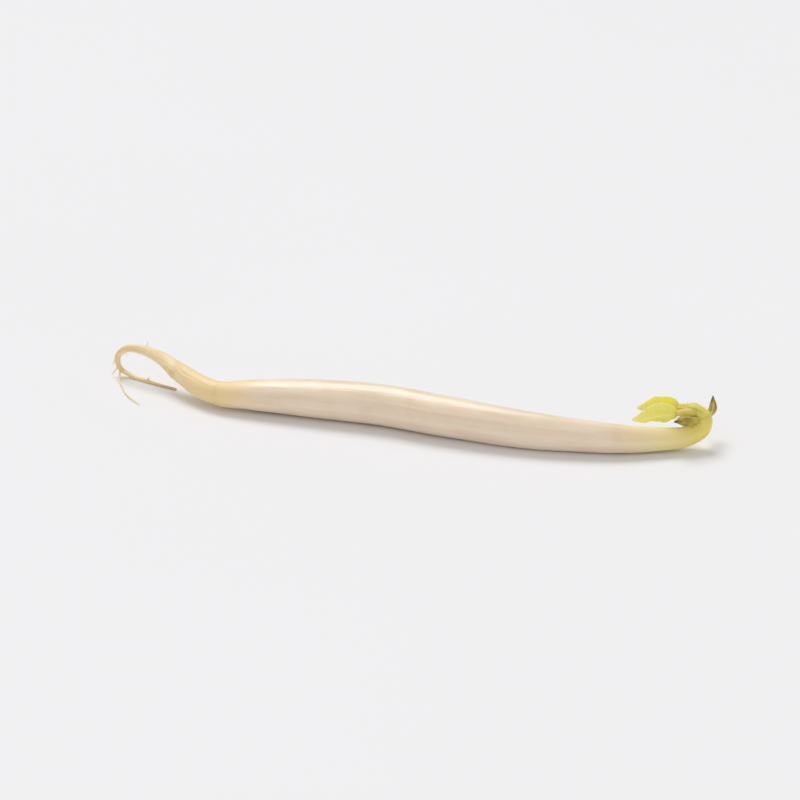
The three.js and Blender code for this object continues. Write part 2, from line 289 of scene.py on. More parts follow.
TIP_RADIUS_SHARE = 0.02  # square of the share of its radius that a rounded tip keeps at its very end
HAIR_SIDES = 4
HAIR_STEPS = 4
HAIR_TIP_SHARE = 0.3
HAIR_MIDDLE = 0.55  # share of a hair's length at its middle point, and that point's share of the droop
HAIR_MIDDLE_DROOP = 0.25


def new_body():
    """An empty mesh in the making, whose vertices keep their place on the skin."""
    bm = bmesh.new()
    bm.verts.layers.float_vector.new(SKIN)
    return bm


def add_unit_tube(bm, sides, steps):
    """Adds a closed tube of radius 1 along +Z, one unit to each step, and gives its vertices."""
    before = len(bm.verts)
    tube = bmesh.ops.create_cone(
        bm, cap_ends=True, cap_tris=True, segments=sides, radius1=1, radius2=1, depth=steps
    )
    bmesh.ops.translate(bm, verts=tube["verts"], vec=(0, 0, steps / 2))
    edges = {edge for vertex in tube["verts"] for edge in vertex.link_edges}
    lengthwise = [e for e in edges if abs(e.verts[0].co.z - e.verts[1].co.z) > steps / 2]
    bmesh.ops.subdivide_edges(bm, edges=lengthwise, cuts=steps - 1)
    bm.verts.ensure_lookup_table()
    return bm.verts[before:]


def add_tube(bm, frames, sides, radius_at, first_length=0.0):
    """Adds a closed tube with a ring of vertices on each frame.

    radius_at(number, angle) is its radius at a frame, with the angle counted from the frame's side
    to its normal. On the skin, x and y go round the tube and z along it, from first_length.
    """
    lengths = lengths_along(frames, first_length)
    skin = bm.verts.layers.float_vector[SKIN]
    for vertex in add_unit_tube(bm, sides, len(frames) - 1):
        number = round(vertex.co.z)
        around = Vector((vertex.co.x, vertex.co.y))
        radius = radius_at(number, math.atan2(around.y, around.x)) if around.length > 0.5 else 0
        place = frames[number]
        vertex[skin] = (around.x * radius, around.y * radius, lengths[number])
        vertex.co = place.point + (place.side * around.x + place.normal * around.y) * radius
        vertex.co.z = max(vertex.co.z, 0)


def rounded_end(to_end, least=TIP_RADIUS_SHARE):
    """The share of a radius that rounds off an end, over the last unit before it."""
    return math.sqrt(max(1 - max(1 - to_end, 0) ** 2, least))


def add_branch(bm, points, base_radius, tip_radius, steps, sides, first_length=0.0):
    """Adds a thin branch that runs smoothly through points and tapers to a rounded tip."""
    frames = frames_along(SmoothPath(points), even_steps(0, 1, steps))
    lengths = lengths_along(frames)

    def radius_at(number, angle):
        radius = mix(base_radius, tip_radius, number / steps)
        return radius * rounded_end((lengths[-1] - lengths[number]) / radius)

    add_tube(bm, frames, sides, radius_at, first_length)


def add_hair(bm, foot, direction, length, radius, droop):
    """Adds a hair that leaves its foot in a direction and bends down by droop, where it has room."""
    tip = foot + direction * length
    if not in_cad_box(tip) or foot.z < radius * 2:
        return
    tip.z = max(tip.z - droop, radius)
    middle = foot + direction * length * HAIR_MIDDLE
    middle.z = max(middle.z - droop * HAIR_MIDDLE_DROOP, radius)
    points = [foot, middle, tip]
    add_branch(bm, points, radius, radius * HAIR_TIP_SHARE, HAIR_STEPS, HAIR_SIDES, PALE_LENGTH)


def hair_root(draw, place, radius, depth, lean):
    """A hair's foot, at a share of the radius, and its direction, both at random round a frame."""
    outwards = outwards_at(place, draw.uniform(0, math.tau))
    direction = (outwards + place.tangent * draw.uniform(*lean)).normalized()
    return place.point + outwards * radius * depth, direction


def unevenness(angle, along, around_scale, along_scale, offset=0.0):
    """Smooth unevenness over a round skin, from -1 to 1. Larger scales make it finer."""
    x = math.cos(angle) * around_scale + offset
    y = math.sin(angle) * around_scale
    return noise.noise(Vector((x, y, along * along_scale)))


def hollows(*where):
    """The same unevenness, as 1 in the hollows and 0 on the rises."""
    return 0.5 - 0.5 * unevenness(*where)


def in_cad_box(point):
    low, high = CAD_BOX
    return all(a < c * MM < b for a, c, b in zip(low, point, high))


def finish_piece(bm, name, node, material):
    """Makes a mesh in the making, in millimetres, a finished piece that stands for a solid."""
    old = bpy.data.objects.get(name)
    if old:
        bpy.data.objects.remove(old)
    bmesh.ops.scale(bm, vec=(MM, MM, MM), verts=bm.verts)
    mesh = bpy.data.meshes.new(name)
    bm.to_mesh(mesh)
    bm.free()
    mesh.shade_smooth()
    mesh.materials.append(material)
    piece = bpy.data.objects.new(name, mesh)
    bpy.context.scene.collection.objects.link(piece)
    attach(piece, "root")
    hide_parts(node)
    return piece


# ---- root

ROOT_LENGTH = lengths_along(centreline_stretch(0, COLLAR_STATION, 100)[0])[-1]
ROOT_SINK = 0.25  # stations that the root runs on just inside the stem
COLLAR_SINK = 0.03  # how deep each of the two then lies below the other's skin
COLLAR_BLEND = 0.2  # stations either side of the collar over which they sink
COLLAR_CALM = (1.5, 5.0)  # distances below the collar between which knobs and furrows set in
ROOT_SIDES = 72
ROOT_STEPS = 260
ROOT_TIP_LENGTH = 0.35
WRINKLE_SHARE = 0.35  # depth of the wrinkles and creases, as shares of the furrows'
CREASE_SHARE = 0.3
SIDE_ROOT_FINENESS = 0.62  # thickness of a side root, as a share of its solid's
SIDE_ROOT_TIP_FINENESS = SIDE_ROOT_FINENESS * 0.6
SHORT_ROOT_THICKNESS = 0.9  # of a short side root's foot, as a share of the long one's
SIDE_ROOT_LEAN = 0.5  # how far they lean towards the tip
SIDE_ROOT_SAG = 0.25  # as a share of the length
ROOT_HAIR_ZONE = (0.25, 0.93)  # shares of the root's length


def root_radius_rule(frames, radii, relief):
    """The root's radius: knobbly, furrowed lengthwise, and creased on the inside of its bends."""
    lengths = lengths_along(frames)
    bends = bends_along(frames)
    last = len(frames) - 1
    depth = relief.root_furrow_depth / MM

    def radius_at(number, angle):
        share = number / last
        along = lengths[number]
        radius = radii[number]
        calm = smooth(lengths[-1] - along, *COLLAR_CALM)
        knobs = calm * (0.05 * math.sin(2 * angle + 9 * share) + 0.04 * math.sin(41 * share + angle))
        furrows = hollows(angle, along, 2.6, 0.45)
        wrinkles = hollows(angle, along, 1.4, 2.6, 4.0)
        inside = inside_bend(frames[number], bends[number], angle) * radius
        creases = min(inside * 2.5, 1) * (0.5 + 0.5 * math.sin(along * 17 + 2 * math.cos(angle)))
        carved = furrows + WRINKLE_SHARE * wrinkles + CREASE_SHARE * creases
        carved *= calm * depth * min(radius, 1)
        station = share * (COLLAR_STATION + ROOT_SINK)
        sunk = COLLAR_SINK * smooth(station - COLLAR_STATION, -COLLAR_BLEND, COLLAR_BLEND)
        return (radius * (1 + knobs) - carved) * rounded_end(along / ROOT_TIP_LENGTH) - sunk

    return radius_at


def side_root_points(number):
    """The points that a short side root runs through."""
    spread = (number * GOLDEN_SHARE) % 1
    share = mix(*SIDE_ROOT_ZONE, (number + spread) / SIDE_ROOT_COUNT)
    place = frames_along(CENTRELINE, [share * COLLAR_STATION / SHOOT_STATION])[0]
    length = mix(SIDE_ROOT_SHORTEST, SIDE_ROOT_LONGEST, spread)
    turn = number * GOLDEN_TURN
    away = place.normal * math.cos(turn) + place.side * math.sin(turn) - place.tangent * SIDE_ROOT_LEAN
    away.normalize()
    middle = place.point + away * length * 0.55
    tip = place.point + away * length
    tip.z -= length * SIDE_ROOT_SAG
    for spot in (middle, tip):
        spot.z = max(spot.z, RESTING_FLAT)
    return [place.point, middle, tip]


def add_root_hairs(bm, frames, radii, relief):
    """Short fine hairs over the upper part of the root, more of them towards the collar."""
    draw = random.Random(SEED)
    length = relief.root_hair_length / MM
    radius = relief.root_hair_radius / MM
    for _ in range(relief.root_hair_count):
        number = int(mix(*ROOT_HAIR_ZONE, draw.random() ** 0.8) * (len(frames) - 1))
        foot, direction = hair_root(draw, frames[number], radii[number], 0.85, (-0.6, 0.3))
        reach = length * draw.uniform(0.4, 1.0)
        add_hair(bm, foot, direction, reach, radius, reach * draw.uniform(0, 0.4))


def build_root(relief, colours):
    bm = new_body()
    frames, radii = centreline_stretch(0, COLLAR_STATION + ROOT_SINK, ROOT_STEPS)
    add_tube(bm, frames, ROOT_SIDES, root_radius_rule(frames, radii, relief))
    thread = [COLLAR_PLACE + Vector(point) for point in LONG_SIDE_ROOT]
    foot_radius = SIDE_ROOT_RADIUS * SIDE_ROOT_FINENESS
    tip_radius = THREAD_TIP_RADIUS * SIDE_ROOT_TIP_FINENESS
    add_branch(bm, thread, foot_radius, tip_radius, steps=48, sides=12, first_length=PALE_LENGTH)
    foot_radius *= SHORT_ROOT_THICKNESS
    tip_radius = SIDE_ROOT_TIP_RADIUS * SIDE_ROOT_TIP_FINENESS
    for number in range(SIDE_ROOT_COUNT):
        points = side_root_points(number)
        add_branch(bm, points, foot_radius, tip_radius, steps=18, sides=10, first_length=PALE_LENGTH)
    add_root_hairs(bm, frames, radii, relief)
    finish_piece(bm, "root_skin", "root", root_material(colours))


# ---- stem

STEM_SINK = 0.25  # stations that the stem runs on below the collar, just inside the root
STEM_FOOT = lengths_along(centreline_stretch(COLLAR_STATION - STEM_SINK, COLLAR_STATION, 20)[0])[-1]
STEM_SHOULDER = 0.2  # stations over which its end rounds over at the node
STEM_SIDES = 72
STEM_STEPS = 400
STEM_CALM = (1.0, 4.0)  # distances from its foot between which its grooves and dents set in
PUCKER_ZONE = (1.0, 2.5, 8.0)  # where the puckers at the collar start, are deepest and end
PUCKER_DEPTH = 0.05
HOOK_CREASE_DEPTH = 0.05
HOOK_BEND = (0.12, 0.5)  # stem radius over bend radius, between which its creases set in


def stem_shape(angle, share):
    """Slightly oval, with shallow grooves along the stem."""
    oval = 0.03 * math.cos(2 * angle + 4 * share)
    grooves = 0.012 * math.cos(5 * angle - 3 * share)
    return 1 + oval + grooves


def stem_radius_rule(frames, radii, stations, relief):
    """The stem's radius, with fine grooves, soft dents, and wrinkles at the collar and the hook."""
    lengths = lengths_along(frames)
    bends = bends_along(frames)
    groove_depth = relief.stem_groove_depth / MM
    dent_depth = relief.stem_dent_depth / MM

    def radius_at(number, angle):
        station = stations[number]
        along = lengths[number]
        radius = radii[number]
        share = (station - COLLAR_STATION) / (NODE_STATION - COLLAR_STATION)
        grooves = groove_depth * hollows(angle, along, 5.5, 0.22)
        dents = dent_depth * hollows(angle, along, 1.1, 0.3, 9.0)
        near_collar = smooth(along, *PUCKER_ZONE[:2]) * (1 - smooth(along, *PUCKER_ZONE[1:]))
        puckers = PUCKER_DEPTH * near_collar * hollows(angle, along, 4.5, 0.8, 3.0)
        calm = smooth(along, *STEM_CALM)
        inside = inside_bend(frames[number], bends[number], angle) * radius
        wave = 0.5 + 0.5 * math.sin(along * 13 + 3 * unevenness(angle, along, 1.0, 0.7))
        creases = HOOK_CREASE_DEPTH * smooth(inside, *HOOK_BEND) * wave
        sunk = COLLAR_SINK * (1 - smooth(station - COLLAR_STATION, -COLLAR_BLEND, COLLAR_BLEND))
        over = max(station - NODE_STATION + STEM_SHOULDER / 4, 0) / STEM_SHOULDER
        rounding = math.sqrt(max(1 - over**2, 0.05))
        body = radius * mix(1, stem_shape(angle, share), calm) - calm * (grooves + dents) - puckers - creases
        return body * rounding - sunk

    return radius_at


def build_stem(relief, colours):
    bm = new_body()
    ends = (COLLAR_STATION - STEM_SINK, NODE_STATION + STEM_SHOULDER * 0.7)
    frames, radii = centreline_stretch(*ends, STEM_STEPS)
    rule = stem_radius_rule(frames, radii, even_steps(*ends, STEM_STEPS), relief)
    add_tube(bm, frames, STEM_SIDES, rule)
    finish_piece(bm, "stem_skin", "hypocotyl", stem_material(colours))


# ---- shoot and bud

SHOOT_SINK = 0.3
SHOOT_SIDES = 40
SHOOT_STEPS = 70
SHOOT_RIB_DEPTH = 0.03
SHOOT_TIP_LENGTH = 0.8
NODE_SINK = 0.12  # how deep its foot lies below the stem's skin
STALK_JOINT_RADIUS = 0.42
STALK_JOINT_LENGTH = 1.05
BUD_SCALES = 3
BUD_CORE_RADIUS = BUD_RADIUS * 0.8
BUD_SCALE_RADIUS = BUD_RADIUS * 0.6
SHOOT_HAIR_LENGTHS = (0.15, 0.3)
SHOOT_HAIR_RADIUS = 0.012


def leaf_matrix(stance):
    """Turns and places a leaf: from its own frame, midrib along +X, to the sprout's."""
    forward = SHOOT_FRAME.tangent
    across = Vector((0, 0, 1)).cross(forward).normalized()
    outward = stance["outward"]
    turn = Matrix((forward, across, forward.cross(across))).transposed()
    turn = turn @ Matrix.Rotation(math.radians(outward * stance["splay"]), 3, "Z")
    turn = turn @ Matrix.Rotation(math.radians(-stance["rise"]), 3, "Y")
    turn = turn @ Matrix.Rotation(math.radians(outward * stance["roll"]), 3, "X")
    base = SHOOT_FRAME.point + across * outward * LEAF_SPACING
    return Matrix.Translation(base) @ turn.to_4x4()


def add_stalk_joint(bm, stance):
    """Adds the swollen joint that carries a leaf stalk, from inside the shoot to the stalk."""
    matrix = leaf_matrix(stance)
    base = matrix.translation
    onward = matrix.to_3x3() @ Vector((1, 0, 0))
    inside = mix(SHOOT_FRAME.point, base, 0.35) - SHOOT_FRAME.tangent * 0.8
    end = base + onward * STALK_JOINT_LENGTH
    points = [inside, mix(inside, base, 0.6), base + onward * 0.1, end]
    add_branch(bm, points, STALK_JOINT_RADIUS * 1.12, STALK_JOINT_RADIUS * 0.6, steps=30, sides=24)


def add_bud(bm):
    """Adds the bud between the leaf stalks: a pointed core in a few overlapping scales."""
    tangent = SHOOT_FRAME.tangent
    base = SHOOT_FRAME.point - tangent * BUD_DEPTH
    shares = even_steps(0, 1, 24)
    frames = frames_along(SmoothPath([base, base + tangent * BUD_LENGTH]), shares)

    def core_radius(number, angle):
        return BUD_CORE_RADIUS * math.sqrt(max(1 - shares[number] ** 3, 0.01))

    add_tube(bm, frames, 16, core_radius)
    for number in range(BUD_SCALES):
        turn = number * GOLDEN_TURN
        outwards = outwards_at(SHOOT_FRAME, turn)
        foot = base + outwards * BUD_RADIUS * 0.45
        middle = foot + tangent * BUD_LENGTH * 0.5 + outwards * BUD_RADIUS * 0.15
        tip = foot + tangent * BUD_LENGTH * (0.98 - 0.1 * number) - outwards * BUD_RADIUS * 0.3
        add_branch(bm, [foot, middle, tip], BUD_SCALE_RADIUS, BUD_RADIUS * 0.12, steps=16, sides=10)


def add_shoot_hairs(bm, frames, radii, relief):
    """Very short hairs that stand off the shoot."""
    draw = random.Random(SEED + 1)
    for _ in range(relief.shoot_hair_count):
        number = draw.randrange(len(frames) // 3, len(frames))
        foot, direction = hair_root(draw, frames[number], radii[number], 0.93, (0.1, 0.6))
        add_hair(bm, foot, direction, draw.uniform(*SHOOT_HAIR_LENGTHS), SHOOT_HAIR_RADIUS, droop=0)


def build_shoot(relief, colours):
    bm = new_body()
    stations = even_steps(NODE_STATION - SHOOT_SINK, SHOOT_STATION, SHOOT_STEPS)
    frames, radii = centreline_stretch(stations[0], stations[-1], SHOOT_STEPS)
    lengths = lengths_along(frames)

    def radius_at(number, angle):
        share = (stations[number] - NODE_STATION) / (SHOOT_STATION - NODE_STATION)
        flare = 1 + SHOOT_FLARE * math.cos(angle) ** 2 * smooth(share, 0.35, 1)
        ribs = SHOOT_RIB_DEPTH * (0.5 - 0.5 * math.cos(6 * angle + 0.4 * lengths[number]))
        uneven = SHOOT_RIB_DEPTH * hollows(angle, lengths[number], 2.0, 1.2)
        rounding = rounded_end((lengths[-1] - lengths[number]) / SHOOT_TIP_LENGTH, 0.05)
        sunk = NODE_SINK * (1 - smooth(stations[number], NODE_STATION - 0.1, NODE_STATION + 0.15))
        return (radii[number] * flare - ribs - uneven) * rounding - sunk

    add_tube(bm, frames, SHOOT_SIDES, radius_at)
    for stance in (NEAR_STANCE, FAR_STANCE):
        add_stalk_joint(bm, stance)
    add_bud(bm)
    add_shoot_hairs(bm, frames, radii, relief)
    finish_piece(bm, "shoot_skin", "epicotyl", shoot_material(colours))


# ---- seed leaves

SEED_LEAF_SIDES = 56
SEED_LEAF_STEPS = 96
SEED_LEAF_FULLNESS = 1.4  # higher keeps the swelling nearer the middle
SEED_LEAF_TIP_SHARE = 0.06  # of the length, over which the tip is rounded
FOLD_SHARE = 1.2  # depth of the folds and the suture, as shares of the wrinkles'
SUTURE_SHARE = 0.5
SUTURE_WIDTH = 0.16  # sine of half the angle that it takes up


def build_seed_leaf(name, node_name, form, relief, material):
    """A dried seed leaf: a flat, wrinkled drop on a short stalk that starts inside the stem."""
    t = NODE_STATION / SHOOT_STATION - SEED_LEAF_SETBACK
    node = frames_along(CENTRELINE, [t])[0]
    direction = Vector(form["heading"]).normalized()
    away = (direction - node.tangent * direction.dot(node.tangent)).normalized()
    start = node.point + away * centreline_radius(t)
    middle = start + away * SEED_LEAF_LENGTH * 0.25 + direction * SEED_LEAF_LENGTH * 0.3
    end = start + direction * SEED_LEAF_LENGTH
    end.z -= form["sag"]
    path = SmoothPath([start - away * 0.5, start, middle, end])
    parameters = even_steps(0, 1, SEED_LEAF_STEPS)
    frames = frames_along(path, parameters, node.tangent)
    lengths = lengths_along(frames)
    bulge = SEED_LEAF_RADIUS - (SEED_STALK_RADIUS + SEED_TIP_RADIUS) / 2
    depth = relief.seed_leaf_wrinkle_depth / MM

    def radius_at(number, angle):
        share = max(parameters[number] * 1.5 - 0.5, 0)
        along = lengths[number]
        swell = math.sin(math.pi * share)
        radius = mix(SEED_STALK_RADIUS, SEED_TIP_RADIUS, share) + max(swell, 0) ** SEED_LEAF_FULLNESS * bulge
        turned = angle + form["twist"]
        flat = 1 / math.hypot(math.cos(turned), math.sin(turned) / SEED_LEAF_FLATNESS)
        waves = 0.1 * math.sin(5 * angle + 6 * share) * swell
        wrinkles = hollows(angle, along, 2.4, 0.9, 2.0)
        folds = abs(unevenness(angle, along, 1.5, 0.5, 6.0))
        suture = math.exp(-((math.sin(turned) / SUTURE_WIDTH) ** 2)) * swell
        carved = depth * (wrinkles + FOLD_SHARE * folds + SUTURE_SHARE * suture) * smooth(share, 0.02, 0.3)
        rounding = rounded_end((1 - share) / SEED_LEAF_TIP_SHARE)
        return (radius * mix(1, flat, min(share * 4, 1)) * (1 + waves) - carved) * rounding

    bm = new_body()
    add_tube(bm, frames, SEED_LEAF_SIDES, radius_at)
    skin = bm.verts.layers.float_vector[SKIN]
    turn = Matrix.Rotation(form["twist"], 3, "Z")
    for vertex in bm.verts:
        vertex[skin] = turn @ vertex[skin]
    finish_piece(bm, name, node_name, material)


def build_seed_leaves(relief, colours):
    material = seed_leaf_material(colours)
    build_seed_leaf("seed_leaf_upper", "cotyledon_upper", UPPER_SEED_LEAF, relief, material)
    build_seed_leaf("seed_leaf_lower", "cotyledon_lower", LOWER_SEED_LEAF, relief, material)


# ---- first leaves

LEAF_SIDES = 96
LEAF_STEPS = 220
VEIN_SPACING = 0.62  # between side veins, along the midrib
VEIN_SLANT = 1.0  # how far a side vein runs forward for each step outward
VEIN_WIDTH = 0.3  # share of the spacing
STALK_THICKNESS = 0.5
CRUMPLE_DEPTH = 0.12  # of the soft crumples between the veins
RIPPLE_DEPTH = 0.015  # of the small waves along the edges
MIDRIB_HALF_WIDTH = 0.15
MIDRIB_HEIGHT = 0.12  # below the blade
MIDRIB_GROOVE = 0.05  # above it
LEAF_TIP_START = 0.97  # share of the length at which the tip starts to be blunted
NORMAL_PROBE = 0.01


def leaf_half_width(share):
    """Broadest below the middle, rounded where the stalk enters and pointed at the tip."""
    blade = min(max((share - STALK_SHARE) / (1 - STALK_SHARE), 0), 1)
    outline = abs(math.sin(math.pi * blade**0.72)) ** (0.75 + 0.6 * blade)
    return STALK_HALF_WIDTH * (1 - 0.7 * share) + (LEAF_HALF_WIDTH - STALK_HALF_WIDTH) * outline


def side_vein(along, distance):
    """1 on a side vein and 0 between them."""
    place = (along - VEIN_SLANT * distance) / VEIN_SPACING
    return 1 - smooth(abs(place - round(place)), 0, VEIN_WIDTH)


def leaf_surface(form):
    """The middle surface of a leaf: folded along its midrib, arched, and waved at its edges."""

    def surface(share, across):
        distance = abs(across) * leaf_half_width(share)
        side = math.copysign(1, across)
        opened = form["fold"] * smooth(share, 0, 0.35)
        rounding = min(distance / FOLD_ROUNDING, opened)
        beyond = max(distance - FOLD_ROUNDING * opened, 0)
        sideways = FOLD_ROUNDING * math.sin(rounding) + beyond * math.cos(opened)
        upwards = FOLD_ROUNDING * (1 - math.cos(rounding)) + beyond * math.sin(opened)
        edge = abs(across) ** 1.5 * smooth(share, 0.15, 0.45) * min(max(1 - share, 0) * 5, 1)
        wave = form["waves"] * edge * math.sin(share * 15 + form["phase"] + side * 0.9)
        wave += RIPPLE_DEPTH * edge * abs(across) * math.sin(share * 41 + side)
        y = side * (sideways - wave * math.sin(opened)) + form["sway"] * share * share
        z = upwards + wave * math.cos(opened) + form["arch"] * share * share
        return Vector((LEAF_LENGTH * share, y, z))

    return surface


def surface_normal(surface, share, across):
    along = surface(share + NORMAL_PROBE, across) - surface(share - NORMAL_PROBE, across)
    sideways = surface(share, across + NORMAL_PROBE) - surface(share, across - NORMAL_PROBE)
    return along.cross(sideways).normalized()


def leaf_lift(share, across, height, relief):
    """How far a leaf's face lies from its middle surface. height is +1 on top and -1 below."""
    distance = abs(across) * leaf_half_width(share)
    stalk = 1 - smooth(share, 0.06, 0.32)
    blade = relief.leaf_thickness / MM / 2 * abs(height) ** 0.5
    round_stalk = STALK_THICKNESS / 2 * (1 - 0.3 * share) * abs(height)
    lift = math.copysign(mix(blade, round_stalk, stalk), height)
    spot = Vector((share * LEAF_LENGTH * 1.5, across * leaf_half_width(share) * 1.7, 5.0))
    lift += CRUMPLE_DEPTH * noise.noise(spot) * (1 - stalk)
    midrib = math.exp(-((distance / MIDRIB_HALF_WIDTH) ** 2)) * (1 - 0.75 * share)
    vein = side_vein(share * LEAF_LENGTH, distance) * (1 - stalk) * abs(height) ** 0.5
    lift -= relief.leaf_vein_height / MM * vein
    if height < 0:
        return lift - MIDRIB_HEIGHT * midrib * (1 - stalk)
    return lift - MIDRIB_GROOVE * midrib


def build_leaf(name, node_name, stance, form, relief, material):
    """A first leaf, from its stalk to its tip, as one closed skin round its middle surface."""
    surface = leaf_surface(form)
    matrix = leaf_matrix(stance)
    bm = new_body()
    skin = bm.verts.layers.float_vector[SKIN]
    for vertex in add_unit_tube(bm, LEAF_SIDES, LEAF_STEPS):
        share = vertex.co.z / LEAF_STEPS
        across = -vertex.co.x
        height = vertex.co.y
        blunt = smooth(share, 1.0, LEAF_TIP_START) if share > LEAF_TIP_START else 1
        across *= blunt
        place = surface(share, across)
        place += surface_normal(surface, share, across) * leaf_lift(share, across, height, relief) * blunt
        vertex[skin] = (across * leaf_half_width(share), height, share * LEAF_LENGTH)
        vertex.co = matrix @ place
        vertex.co.z = max(vertex.co.z, 0)
    finish_piece(bm, name, node_name, material)


def build_first_leaves(relief, colours):
    material = leaf_material(colours)
    build_leaf("first_leaf_near", "leaf_near", NEAR_STANCE, NEAR_FORM, relief, material)
    build_leaf("first_leaf_far", "leaf_far", FAR_STANCE, FAR_FORM, relief, material)


# ---- material tools

CELL_STRETCH = (7.0, 7.0, 1.6)  # how many skin cells there are to a millimetre, round and along
CELL_SHARE = 0.35  # of their relief, beside the furrows'
SEAM_REACH = (0.3, 0.02)  # distances from the seam at which its ring starts and is full
MIDRIB_REACH = (0.05, 0.16)  # distances from the midrib up to which it is full and at which it ends
SIDE_VEIN_REACH = (0.0, 0.1)  # the same for a side vein, as shares of the spacing
SIDE_VEIN_STRENGTH = 0.7


class Network:
    """Adds nodes to a tree, joins them, and lays them out from left to right."""

    def __init__(self, tree):
        self.tree = tree
        self.tree.nodes.clear()
        self.columns = {}

    def add(self, kind, inputs, **settings):
        """Adds a node. Its inputs, by name or number, are given another node's output or a value."""
        node = self.tree.nodes.new(kind)
        for name, value in settings.items():
            setattr(node, name, value)
        column = 0
        for name, value in inputs.items():
            if isinstance(value, bpy.types.NodeSocket):
                self.tree.links.new(value, node.inputs[name])
                column = max(column, self.columns[value.node.name] + 1)
            else:
                node.inputs[name].default_value = value
        row = list(self.columns.values()).count(column)
        self.columns[node.name] = column
        node.location = (column * 220, row * -200)
        return node

    def math(self, operation, first, second=0.0):
        return self.add("ShaderNodeMath", {0: first, 1: second}, operation=operation).outputs[0]

    def scaled(self, vector, scale):
        return self.add("ShaderNodeVectorMath", {0: vector, 1: scale}, operation="MULTIPLY").outputs[0]

    def ramp(self, value, low, high, low_result=0.0, high_result=1.0):
        """A smooth step from low_result, at low, to high_result, at high."""
        inputs = {0: value, 1: low, 2: high, 3: low_result, 4: high_result}
        return self.add("ShaderNodeMapRange", inputs, interpolation_type="SMOOTHSTEP").outputs[0]

    def tints(self, colour, *layers):
        """The colour, with a share of each layer's tint in it where the layer's mask is 1."""
        for mask, share, tint in layers:
            amount = self.math("MULTIPLY", mask, share) if share < 1 else mask
            first, second = [c if isinstance(c, bpy.types.NodeSocket) else (*c, 1.0) for c in (colour, tint)]
            colour = self.add("ShaderNodeMix", {0: amount, 6: first, 7: second}, data_type="RGBA").outputs[2]
        return colour

    def group(self, tree, **inputs):
        """Adds a node group, whose inputs are given by name in small letters."""
        named = {name.capitalize(): value for name, value in inputs.items()}
        return self.add("ShaderNodeGroup", named, node_tree=tree).outputs[0]


def new_group(name, output, numbers, vector=None):
    """A shader node group with one output. Its inputs are a vector, if it is named, and numbers.

    Gives the group, and its network and inputs if the group is new and still has to be filled.
    """
    old = bpy.data.node_groups.get(name)
    if old:
        return old, None, None
    tree = bpy.data.node_groups.new(name, "ShaderNodeTree")
    if vector:
        tree.interface.new_socket(name=vector, in_out="INPUT", socket_type="NodeSocketVector")
    for label, default in numbers.items():
        socket = tree.interface.new_socket(name=label, in_out="INPUT", socket_type="NodeSocketFloat")
        socket.default_value = default
    tree.interface.new_socket(name=output, in_out="OUTPUT", socket_type="NodeSocketFloat")
    nodes = Network(tree)
    return tree, nodes, nodes.add("NodeGroupInput", {}).outputs


def streaks_group():
    """Streaks that run along the skin, as a mask."""
    numbers = {"Around": 3.0, "Along": 0.2, "Low": 0.4, "High": 0.6}
    tree, nodes, given = new_group("Growth streaks", "Mask", numbers, vector="Skin")
    if nodes:
        axes = {0: given["Around"], 1: given["Around"], 2: given["Along"]}
        place = nodes.scaled(given["Skin"], nodes.add("ShaderNodeCombineXYZ", axes).outputs[0])
        grain = nodes.add("ShaderNodeTexNoise", {"Vector": place, "Scale": 1.0, "Detail": 3.0}).outputs[0]
        nodes.add("NodeGroupOutput", {0: nodes.ramp(grain, given["Low"], given["High"])})
    return tree


def blotches_group():
    """Soft-edged blotches of a given size, as a mask."""
    numbers = {"Scale": 0.5, "Low": 0.45, "High": 0.65}
    tree, nodes, given = new_group("Blotches", "Mask", numbers, vector="Skin")
    if nodes:
        inputs = {"Vector": given["Skin"], "Scale": given["Scale"], "Detail": 4.0, "Distortion": 0.6}
        clouds = nodes.add("ShaderNodeTexNoise", inputs).outputs[0]
        nodes.add("NodeGroupOutput", {0: nodes.ramp(clouds, given["Low"], given["High"])})
    return tree


def cells_group():
    """The fine relief of plant skin: rows of long cells between shallow furrows."""
    tree, nodes, given = new_group("Skin cells", "Height", {"Fineness": 1.0}, vector="Skin")
    if nodes:
        inputs = {"Vector": nodes.scaled(given["Skin"], CELL_STRETCH), "Scale": given["Fineness"]}
        cells = nodes.add("ShaderNodeTexVoronoi", inputs).outputs[0]
        furrows = nodes.group(streaks_group(), skin=given["Skin"], around=4.0, along=0.35, low=0.3, high=0.7)
        height = nodes.math("SUBTRACT", furrows, nodes.math("MULTIPLY", cells, CELL_SHARE))
        nodes.add("NodeGroupOutput", {0: height})
    return tree


def veins_group():
    """A leaf's veins: a midrib, and side veins that leave it slantwise, as a mask."""
    numbers = {"Across": 0.0, "Along": 0.0, "Spacing": VEIN_SPACING}
    tree, nodes, given = new_group("Leaf veins", "Mask", numbers)
    if nodes:
        distance = nodes.math("ABSOLUTE", given["Across"])
        forward = nodes.math("MULTIPLY", distance, VEIN_SLANT)
        place = nodes.math("SUBTRACT", given["Along"], forward)
        share = nodes.math("DIVIDE", place, given["Spacing"])
        nearest = nodes.math("ROUND", share)
        away = nodes.math("ABSOLUTE", nodes.math("SUBTRACT", share, nearest))
        side_veins = nodes.ramp(away, *SIDE_VEIN_REACH, SIDE_VEIN_STRENGTH, 0.0)
        midrib = nodes.ramp(distance, *MIDRIB_REACH, 1.0, 0.0)
        nodes.add("NodeGroupOutput", {0: nodes.math("MAXIMUM", midrib, side_veins)})
    return tree


def new_material(name):
    material = bpy.data.materials.get(name) or bpy.data.materials.new(name)
    material.use_nodes = True
    return material


